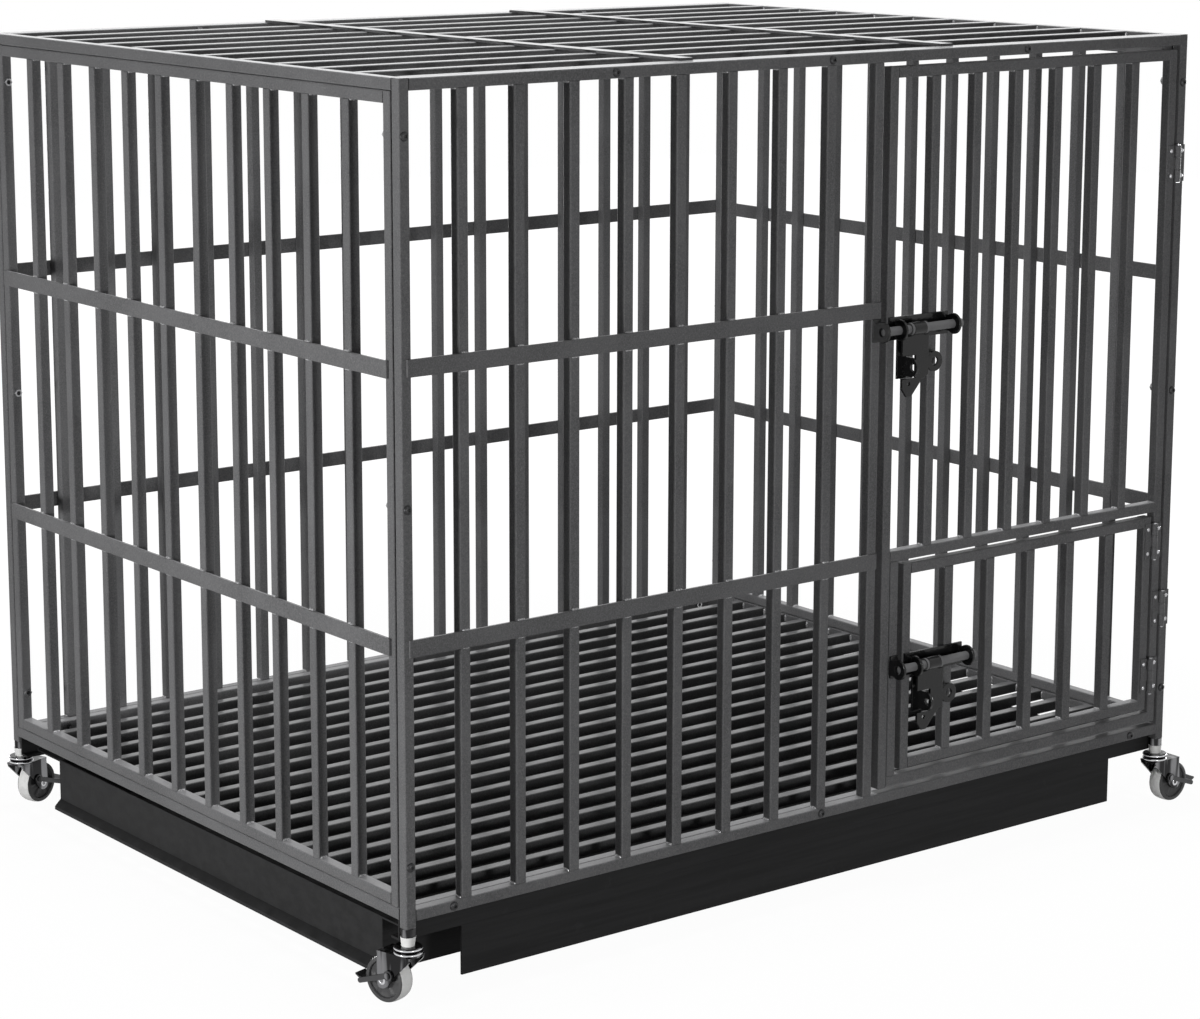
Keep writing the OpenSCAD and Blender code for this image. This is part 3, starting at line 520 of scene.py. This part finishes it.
class CRATE_OT_paint(bpy.types.Operator):
    """Makes the finishes and puts one on every solid"""

    bl_idname = "crate.paint"
    bl_label = "Paint the solids"

    def execute(self, context):
        c = looks().colours
        FINISH.update(
            frame_paint=powder_coat("powder_coat", c.frame_coat),
            # The slats: a copy of the frame paint at 0.42 of its colour, painted shade on their sides, with a
            # larger share of the painted sheen on their tops
            slat=powder_coat("slat_coat", c.frame_coat, share=0.42, low_sheen=0.6),
            weld=weld_coat(c.frame_coat),
            rod=moulded("rod_satin", c.rod, dirt=0.3),
            rim=plated("rim_chrome", c.rim, rough=0.08, grain=500.0),
            latch_paint=gloss_black(c.latch),
            bolt_black=black_oxide(c.bolt),
            plated_steel=plated("zinc_plate", c.zinc, rough=0.2, grain=900.0),
            tray_paint=tray_coat(c.tray),
            caster_chrome=mirror_plate("chrome_plate", c.chrome),
            collar_plastic=moulded("collar_plastic", c.collar, dirt=0.15),
            wheel_plastic=moulded("tread_rubber", c.tread, dirt=0.3),
            hub_plastic=moulded("hub_plastic", c.hub, dirt=0.3),
            brake_steel=plated("pedal_plate", c.pedal, rough=0.28, grain=700.0),
        )
        for name, node in frame["nodes"].items():
            finish = FINISH[OWN_FINISH.get(name) or slot_of(name)]
            node.data.materials.clear()
            node.data.materials.append(finish)
        return {"FINISHED"}


# Welds


def bead(length, leg, ripples=5, stations=13, bulge=5):
    """Fillet bead along X in the corner of +Y and +Z.

    Its section is a bulged triangle, whose leg ripples along the bead and closes at the ends.
    """
    u = np.linspace(0.0, 1.0, stations)[:, None]
    v = np.linspace(0.0, 1.0, bulge)[None, :]
    taper = np.sqrt(1.0 - np.abs(2.0 * u - 1.0) ** 6)
    ripple = 1.0 - BEAD_RIPPLE + BEAD_RIPPLE * np.abs(np.sin(np.pi * ripples * u))
    size = leg * taper * ripple
    swell = BEAD_SWELL * np.sin(np.pi * v)
    y = np.concatenate([0.0 * u, size * (1.0 - v + swell)], 1)
    z = np.concatenate([0.0 * u, size * (v + swell)], 1)
    x = length * (u - 0.5) + 0.0 * y
    return np.stack([x, y, z], -1).reshape(-1, 3), grid_faces(stations, bulge + 1, False, True)


def corner_frames(origins, along, one, other):
    """Bead frames at many corners with the same three directions."""
    origins = np.atleast_2d(origins)
    turn = np.stack([along, one, other], -1)
    return np.concatenate([np.broadcast_to(turn, (len(origins), 3, 3)), origins[:, :, None]], 2)


def row(node, count, axis):
    """Low corners of a row of equal bars, evenly spaced between the ends of their node's box."""
    lo, hi = (np.array(p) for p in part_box(node))
    starts = np.linspace(lo[axis], hi[axis] - TUBE, count)
    corners = np.repeat(lo[None], count, 0)
    corners[:, axis] = starts
    return corners, hi


def bar_welds(node):
    """Beads on both sides of both ends of each bar in a row."""
    count, row_axis, bar_axis = BAR_ROWS[node]
    along = 3 - row_axis - bar_axis
    low, hi = row(node, count, row_axis)
    low[:, along] += TUBE / 2
    frames = []
    for side in (0, 1):
        for end in (0, 1):
            at = low.copy()
            at[:, row_axis] += side * TUBE
            at[:, bar_axis] = hi[bar_axis] if end else low[:, bar_axis]
            one = AXES[row_axis] * (1 if side else -1)
            other = AXES[bar_axis] * (-1 if end else 1)
            frames.append(corner_frames(at, AXES[along], one, other))
    return frames


def strap_welds(strap):
    """Beads above and below each strap of a pair where it crosses the bars of a row."""
    bars, outwards = STRAPS[strap]
    count, row_axis, _ = BAR_ROWS[bars]
    lo, hi = (np.array(p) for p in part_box(strap))
    low, _ = row(bars, count, row_axis)
    face = 1 - row_axis
    frames = []
    for z, other in ((lo[2], -Z), (lo[2] + STRAP_W, Z), (hi[2] - STRAP_W, -Z), (hi[2], Z)):
        at = low.copy()
        at[:, row_axis] += TUBE / 2
        at[:, face] = lo[face] if outwards > 0 else hi[face]
        at[:, 2] = z
        frames.append(corner_frames(at, AXES[row_axis], AXES[face] * outwards, other))
    return frames


class CRATE_OT_welds(bpy.types.Operator):
    """Lays fillet beads where bars, rails and straps meet"""

    bl_idname = "crate.welds"
    bl_label = "Lay the welds"

    def execute(self, context):
        shape = bead(TUBE * BEAD_LENGTH, looks().sizes.weld_leg)
        doors = {"door_bars", "feed_bars"}
        fixed = [frames for node in BAR_ROWS if node not in doors for frames in bar_welds(node)]
        fixed += [frames for strap in STRAPS for frames in strap_welds(strap)]
        runs = (
            ("crate_welds", "crate", fixed),
            ("door_welds", "main_door", bar_welds("door_bars")),
            ("feed_welds", "feed_door", bar_welds("feed_bars")),
        )
        for name, body, frames in runs:
            shapes = stamp(shape, np.concatenate(frames))
            piece(name, shapes, FINISH["weld"], body)
        return {"FINISHED"}


# Screws and rivets


def socket_bolt(head_r, head_h, shank_r, grip, socket, depth, steps=36):
    """Button head screw along +Z from its seat: dome of revolution that drops into a hexagon socket."""
    a = np.linspace(0.0, 2.0 * np.pi, steps, endpoint=False)[:, None]
    hexagon = socket / np.cos((a % (np.pi / 3.0)) - np.pi / 6.0)
    rise = np.linspace(0.0, DOME_SWEEP, 7)
    dome_r = head_r * np.cos(rise)
    dome_z = head_h * (DOME_RIM + (1.0 - DOME_RIM) * np.sin(rise) / math.sin(DOME_SWEEP))
    outer = np.concatenate([[shank_r, shank_r, head_r], dome_r])
    outer_z = np.concatenate([[-grip, 0.0, 0.0], dome_z])
    r = np.concatenate([0.0 * a, outer[None] + 0.0 * a, hexagon, hexagon * SOCKET_TAPER, 0.0 * a], 1)
    top = head_h * SOCKET_TOP
    z = np.concatenate([[-grip], outer_z, [top, top - depth, top - depth * SOCKET_TIP]])[None] + 0.0 * a
    verts = np.stack([r * np.cos(a), r * np.sin(a), z], -1)
    return verts.reshape(-1, 3), grid_faces(steps, verts.shape[1], True, False)


def dome_rivet(head_r, head_h, shank_r, grip):
    """Rivet along +Z from its seat: a low spherical cap on a short shank."""
    cap = arc(0.0, 0.0, 1.0, 0.0, 90.0, 6) * (head_r, head_h)
    shank = [(0.0, -grip), (shank_r, -grip), (shank_r, 0.0), (head_r, 0.0)]
    return lathe(np.concatenate([shank, cap]), 20, False)


class CRATE_OT_bolts(bpy.types.Operator):
    """Puts socket button screws in place of the plain panel bolts"""

    bl_idname = "crate.bolts"
    bl_label = "Set the panel bolts"

    def execute(self, context):
        s = looks().sizes
        lo, hi = (np.array(p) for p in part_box("front_frame"))
        _, back = (np.array(p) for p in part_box("back_frame"))
        floor_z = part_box("floor_frame")[0][2]
        mid = (lo[0] + hi[0]) / 2
        low_z, high_z = floor_z + POST_BOLT_FOOT, hi[2] - POST_BOLT_TOP
        posts = (lo[0] + TUBE / 2, hi[0] - TUBE / 2)
        places = [(x, z) for x in posts for z in (low_z, (low_z + high_z) / 2, high_z)]
        places += [(x, hi[2] - TUBE / 2) for x in (lo[0] + TOP_BOLT_IN, mid, hi[0] - TOP_BOLT_IN)]
        places += [(x, floor_z + TUBE / 2) for x in (lo[0] + FLOOR_BOLT_IN, mid, hi[0] - FLOOR_BOLT_IN)]
        at = np.array([(x, 0.0, z) for x, z in places])
        front = at + (0.0, lo[1], 0.0)
        rear = at + (0.0, back[1], 0.0)
        frames = np.concatenate([corner_frames(front, X, Z, -Y), corner_frames(rear, X, -Z, Y)])
        shape = socket_bolt(BOLT_HEAD_R, BOLT_HEAD_H, BOLT_R, BOLT_GRIP, s.socket, s.socket_depth)
        shapes = stamp(shape, frames)
        piece("panel_screws", shapes, FINISH["bolt_black"], "crate", ["panel_bolts"])
        return {"FINISHED"}


def rivet_column(rivets, hinge, column):
    """Seats of the four rivets in one column, two on each hinge of a leaf node, from the boxes."""
    head = np.array(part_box(rivets))
    leaf = np.array(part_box(hinge))
    x = (head[0, 0] + RIVET_HEAD_R, head[1, 0] - RIVET_HEAD_R)[column]
    low, high = leaf[0, 2], leaf[1, 2]
    z = np.array([low + RIVET_IN, low + HINGE_H - RIVET_IN, high - HINGE_H + RIVET_IN, high - RIVET_IN])
    return np.stack([0.0 * z + x, 0.0 * z + head[0, 1] + RIVET_HEAD_H, z], -1)


class CRATE_OT_rivets(bpy.types.Operator):
    """Puts domed rivets in the hinge leaves"""

    bl_idname = "crate.rivets"
    bl_label = "Set the hinge rivets"

    def execute(self, context):
        shape = dome_rivet(RIVET_HEAD_R, RIVET_HEAD_H, RIVET_R, RIVET_GRIP)
        columns = (
            ("post_rivets", "crate", [("main_hinge_fixed", 0)]),
            ("door_rivets", "main_door", [("main_hinge_moving", 0), ("feed_hinge_fixed", 1)]),
            ("feed_rivets", "feed_door", [("feed_hinge_moving", 0)]),
        )
        zinc = FINISH["plated_steel"]
        for node, body, hinges in columns:
            seats = np.concatenate([rivet_column(node, hinge, column) for hinge, column in hinges])
            shapes = stamp(shape, corner_frames(seats, X, Z, -Y))
            piece(node + "_domed", shapes, zinc, body, [node])
        return {"FINISHED"}


# Casters


def wheel_frame(corner):
    """Frame of one wheel: Z along its axle, X along its heading, at the axle's middle."""
    spin = JOINTS[corner + "_spin"]
    axle = np.array(spin["axis"], float)
    ahead = np.cross(axle, Z)
    return frame_at(spin["pos_m"], ahead, np.cross(axle, ahead), axle)


def tyre(r, inner, half, crown):
    """Tread of revolution: crowned face with a moulding line in its middle, round shoulders, flat walls."""
    z = np.linspace(-1.0, 1.0, 17)
    face = r - crown * z**2 - TREAD_LINE * np.exp(-((z / TREAD_LINE_W) ** 2))
    flat = half - TREAD_EDGE
    run = np.stack([face, z * flat], -1)
    top = arc(r - crown - TREAD_EDGE, flat, TREAD_EDGE, 0.0, 90.0, 6)[1:]
    wall = [(inner + TREAD_CHAMFER, half), (inner, half - TREAD_CHAMFER)]
    side = np.concatenate([top, wall])
    other = side[::-1] * (1.0, -1.0)
    return lathe(np.concatenate([other, run, side]), 72, True)


def hub(r, flange, half, bore):
    """Wheel core: boss, dished web with six low ribs that fade at their ends, flange beside the tread.

    The ribs are the eighth power of a cosine round the axle, times the root of a sine along the web.
    """
    steps = 120
    a = np.linspace(0.0, 2.0 * np.pi, steps, endpoint=False)[:, None]
    s = np.linspace(0.0, 1.0, 14)[None]
    web_r = WEB_R + s * (r - WEB_IN - WEB_R)
    rib = RIB_H * np.cos(3.0 * a) ** 8 * np.sin(np.pi * s) ** 0.5
    web_z = half - WEB_SUNK - WEB_DISH * np.sin(np.pi * s) + rib
    boss_r = np.array([[bore, BOSS_R, BOSS_FOOT_R]])
    boss_z = half - np.array([[BOSS_SUNK, BOSS_SUNK, BOSS_FOOT_SUNK]])
    rim_r = np.array([[r - RIM_IN, r - RIM_LIP_IN, flange - RIM_EDGE, flange, flange, r]])
    rim_z = half - np.array([[RIM_FOOT_SUNK, RIM_SUNK, RIM_SUNK, RIM_EDGE, RIM_BACK_SUNK, RIM_BACK_SUNK]])
    rr = np.concatenate([boss_r + 0.0 * a, web_r + 0.0 * a, rim_r + 0.0 * a], 1)
    zz = np.concatenate([boss_z + 0.0 * a, web_z + 0.0 * a, rim_z + 0.0 * a], 1)
    rr = np.concatenate([rr, rr[:, ::-1]], 1)
    zz = np.concatenate([zz, -zz[:, ::-1]], 1)
    verts = np.stack([rr * np.cos(a), rr * np.sin(a), zz], -1)
    return verts.reshape(-1, 3), grid_faces(steps, rr.shape[1], True, True)


class CRATE_OT_wheels(bpy.types.Operator):
    """Puts a crowned tread and a ribbed core in place of each plain wheel"""

    bl_idname = "crate.wheels"
    bl_label = "Fit the wheels"

    def execute(self, context):
        tread = tyre(WHEEL_R, TYRE_INNER_R, TREAD_HALF, looks().sizes.tread_crown)
        core = hub(HUB_R, FLANGE_R, WHEEL_HALF, BORE_R)
        for corner in CORNERS:
            at = wheel_frame(corner)[None]
            body = corner + "_wheel"
            rubber, plastic = FINISH["wheel_plastic"], FINISH["hub_plastic"]
            piece(corner + "_tread", stamp(tread, at), rubber, body, [body])
            piece(corner + "_core", stamp(core, at), plastic, body)
        return {"FINISHED"}


def rim_bead(r, width):
    """Rim of a swivel ring that carries a painted highlight: a round bead of revolution sunk into the ring's edge.
    """
    return lathe(arc(r - width, 0.0, width, 0.0, 360.0, 17)[:-1], 64, True)


class CRATE_OT_races(bpy.types.Operator):
    """Puts bright rims on the swivel rings, ten times lighter than their chrome as a painted highlight"""

    bl_idname = "crate.races"
    bl_label = "Polish the swivel rings"

    def execute(self, context):
        shape = rim_bead(RING_R, looks().sizes.rim_bead)
        places = {c: JOINTS[c + "_swivel"]["pos_m"][:2] for c in CORNERS}
        upper = [frame_at((*places[c], STEM_RING_Z), X, Y, Z) for c in CORNERS]
        piece("stem_rims", stamp(shape, upper), FINISH["rim"], "crate")
        for c in CORNERS:
            at = frame_at((*places[c], FORK_RING_Z), X, Y, Z)[None]
            piece(c + "_fork_rim", stamp(shape, at), FINISH["rim"], c + "_fork")
        return {"FINISHED"}


def rolled_end(r, rise, sunk):
    """Rolled end of a hollow axle, of revolution about Z: a low half round ring, sunk below Z 0."""
    wall = r / 4
    crown = arc(0.0, 0.0, 1.0, 0.0, 180.0, 9) * (wall, rise) + (r - wall, 0.0)
    return lathe(np.concatenate([crown, [(r - 2 * wall, -sunk), (r, -sunk)]]), 32, True)


class CRATE_OT_axles(bpy.types.Operator):
    """Rolls the ends of the axles over the forks"""

    bl_idname = "crate.axles"
    bl_label = "Roll the axle ends"

    def execute(self, context):
        shape = rolled_end(looks().sizes.axle_end, AXLE_RISE, AXLE_SUNK)
        for c in CORNERS:
            near = wheel_frame(c)
            far = frame_at(near[:, 3], near[:, 0], -near[:, 1], -near[:, 2])
            near[:, 3] += FORK_HALF * near[:, 2]
            far[:, 3] += FORK_HALF * far[:, 2]
            # The ends take the rims' bright plating, a painted glint
            piece(c + "_axle_ends", stamp(shape, [near, far]), FINISH["rim"], c + "_fork")
        return {"FINISHED"}


# Stage


class CRATE_OT_stage(bpy.types.Operator):
    """Lays the floor and sets the lights, the white surround and the camera"""

    bl_idname = "crate.stage"
    bl_label = "Set the stage"

    def execute(self, context):
        scene = context.scene
        scene.view_settings.view_transform = "Standard"
        self.floor()
        self.world(scene)
        self.lights(scene)
        self.camera(scene)
        return {"FINISHED"}

    def floor(self):
        """Flat floor: it glows white where it is seen, and keeps a faint shadow near the crate."""
        u = np.linspace(-FLOOR_HALF, FLOOR_HALF, 3)
        x, y = np.meshgrid(u, u, indexing="ij")
        verts = np.stack([x, y, 0.0 * x - FLOOR_SUNK], -1).reshape(-1, 3)
        mesh = bpy.data.meshes.new("studio_floor")
        mesh.from_pydata(verts, [], grid_faces(3, 3))
        obj = bpy.data.objects.new("studio_floor", mesh)
        bpy.context.scene.collection.objects.link(obj)
        f = Finish("studio_floor", Roughness=0.9, Specular_IOR_Level=0.1)
        cloud = f.noise(3.0, 2.0)
        f.feed("Base Color", f.mix(cloud, rgba(WHITE, FLOOR_GREY[0]), rgba(WHITE, FLOOR_GREY[1])))
        reach = f.node("ShaderNodeVectorMath", {"operation": "LENGTH"}, {0: f.place}, out="Value")
        glow = 1.0 - SHADOW_SHARE + SHADOW_SHARE * reach.above(*SHADOW_REACH)
        white = f.node("ShaderNodeEmission", None, {"Color": WHITE, "Strength": FLOOR_GLOW})
        lit = Sock(f, f.shader.outputs[0])
        blend = f.node("ShaderNodeMixShader", None, {0: f.seen() * glow, 1: lit, 2: white})
        f.tree.links.new(blend.socket, f.tree.nodes["Material Output"].inputs["Surface"])
        mesh.materials.append(f.material)

    def world(self, scene):
        """White where it is seen, and a soft even light on the object."""
        scene.world = bpy.data.worlds.new("white_studio")
        net = Net(scene.world)
        net.tree.nodes.clear()
        soft = net.node("ShaderNodeBackground", None, {"Color": WHITE, "Strength": SOFT_LIGHT})
        white = net.node("ShaderNodeBackground", None, {"Color": WHITE, "Strength": 1.0})
        both = net.node("ShaderNodeMixShader", None, {0: net.seen(), 1: soft, 2: white})
        net.node("ShaderNodeOutputWorld", None, {"Surface": both})

    def lights(self, scene):
        """A softbox square to each side and the top, in line with a row, whose bars shade one another.

        The top one leaves no glare on the roof.
        """
        lo, hi = np.array(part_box("front_frame"))
        middle = (lo[2] + hi[2]) / 2 * Z
        # Name, place from the point it is aimed at, that point, side of the square, watts
        lamps = (
            ("left_softbox", -2.6 * X, middle + lo[1] * Y, 0.25, 38.0),
            ("front_softbox", -2.8 * Y, middle + 0.75 * lo[0] * X, 0.4, 21.0),
            ("right_softbox", 5.6 * X, middle, 0.8, 140.0),
            ("back_softbox", 5.6 * Y, middle, 0.8, 140.0),
            ("top_softbox", 5.6 * Z, middle, 0.8, 400.0),
        )
        for name, away, aim, size, watts in lamps:
            data = bpy.data.lights.new(name, "AREA")
            data.shape = "SQUARE"
            data.size = size
            data.energy = watts
            lamp = bpy.data.objects.new(name, data)
            lamp.location = aim + away
            lamp.rotation_euler = Vector(-away).to_track_quat("-Z", "Y").to_euler()
            lamp.visible_camera = False
            lamp.visible_glossy = name != "top_softbox"
            scene.collection.objects.link(lamp)

    def camera(self, scene):
        """Camera at the photograph's view: turned by yaw about Z, tilted down by pitch, then rolled."""
        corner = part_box("front_frame")[0]
        data = bpy.data.cameras.new("photo_view")
        data.sensor_fit = "HORIZONTAL"
        data.sensor_width = SENSOR_W
        data.lens = VIEW_FOCAL / PICTURE_W * SENSOR_W
        data.shift_x, data.shift_y = VIEW_SHIFT
        cam = bpy.data.objects.new("photo_view", data)
        level = math.cos(VIEW_PITCH)
        ahead = np.array([math.sin(VIEW_YAW) * level, math.cos(VIEW_YAW) * level, -math.sin(VIEW_PITCH)])
        right = np.array([math.cos(VIEW_YAW), -math.sin(VIEW_YAW), 0.0])
        up = np.cross(right, ahead)
        side = right * math.cos(VIEW_ROLL) + up * math.sin(VIEW_ROLL)
        top = up * math.cos(VIEW_ROLL) - right * math.sin(VIEW_ROLL)
        place = Vector((corner[0] + VIEW_PLACE[0], corner[1] + VIEW_PLACE[1], VIEW_PLACE[2]))
        turn = Matrix(np.stack([side, top, -ahead], -1).tolist()).to_4x4()
        cam.matrix_world = Matrix.Translation(place) @ turn
        scene.collection.objects.link(cam)
        scene.camera = cam


class CRATE_PT_looks(bpy.types.Panel):
    """Colours, sizes and steps of the crate's looks"""

    bl_idname = "CRATE_PT_looks"
    bl_label = "Dog crate looks"
    bl_space_type = "VIEW_3D"
    bl_region_type = "UI"
    bl_category = "Crate"

    def draw(self, context):
        for group in (looks().colours, looks().sizes):
            box = self.layout.box()
            for name in group.bl_rna.properties.keys():
                if name not in ("rna_type", "name"):
                    box.prop(group, name)
        for operator in STEPS:
            self.layout.operator(operator.bl_idname)


STEPS = (
    CRATE_OT_paint,
    CRATE_OT_welds,
    CRATE_OT_bolts,
    CRATE_OT_rivets,
    CRATE_OT_wheels,
    CRATE_OT_races,
    CRATE_OT_axles,
    CRATE_OT_stage,
)
CLASSES = (CrateColours, CrateSizes, CrateLooks, *STEPS, CRATE_PT_looks)


def register():
    for c in CLASSES:
        bpy.utils.register_class(c)
    bpy.types.Scene.crate_looks = bpy.props.PointerProperty(
        type=CrateLooks, name="Crate looks", description="Colours and sizes of the crate's looks"
    )


def unregister():
    del bpy.types.Scene.crate_looks
    for c in reversed(CLASSES):
        bpy.utils.unregister_class(c)


def main():
    register()
    bpy.ops.crate.paint()
    bpy.ops.crate.welds()
    bpy.ops.crate.bolts()
    bpy.ops.crate.rivets()
    bpy.ops.crate.wheels()
    bpy.ops.crate.races()
    bpy.ops.crate.axles()
    bpy.ops.crate.stage()


if __name__ == "__main__":
    main()
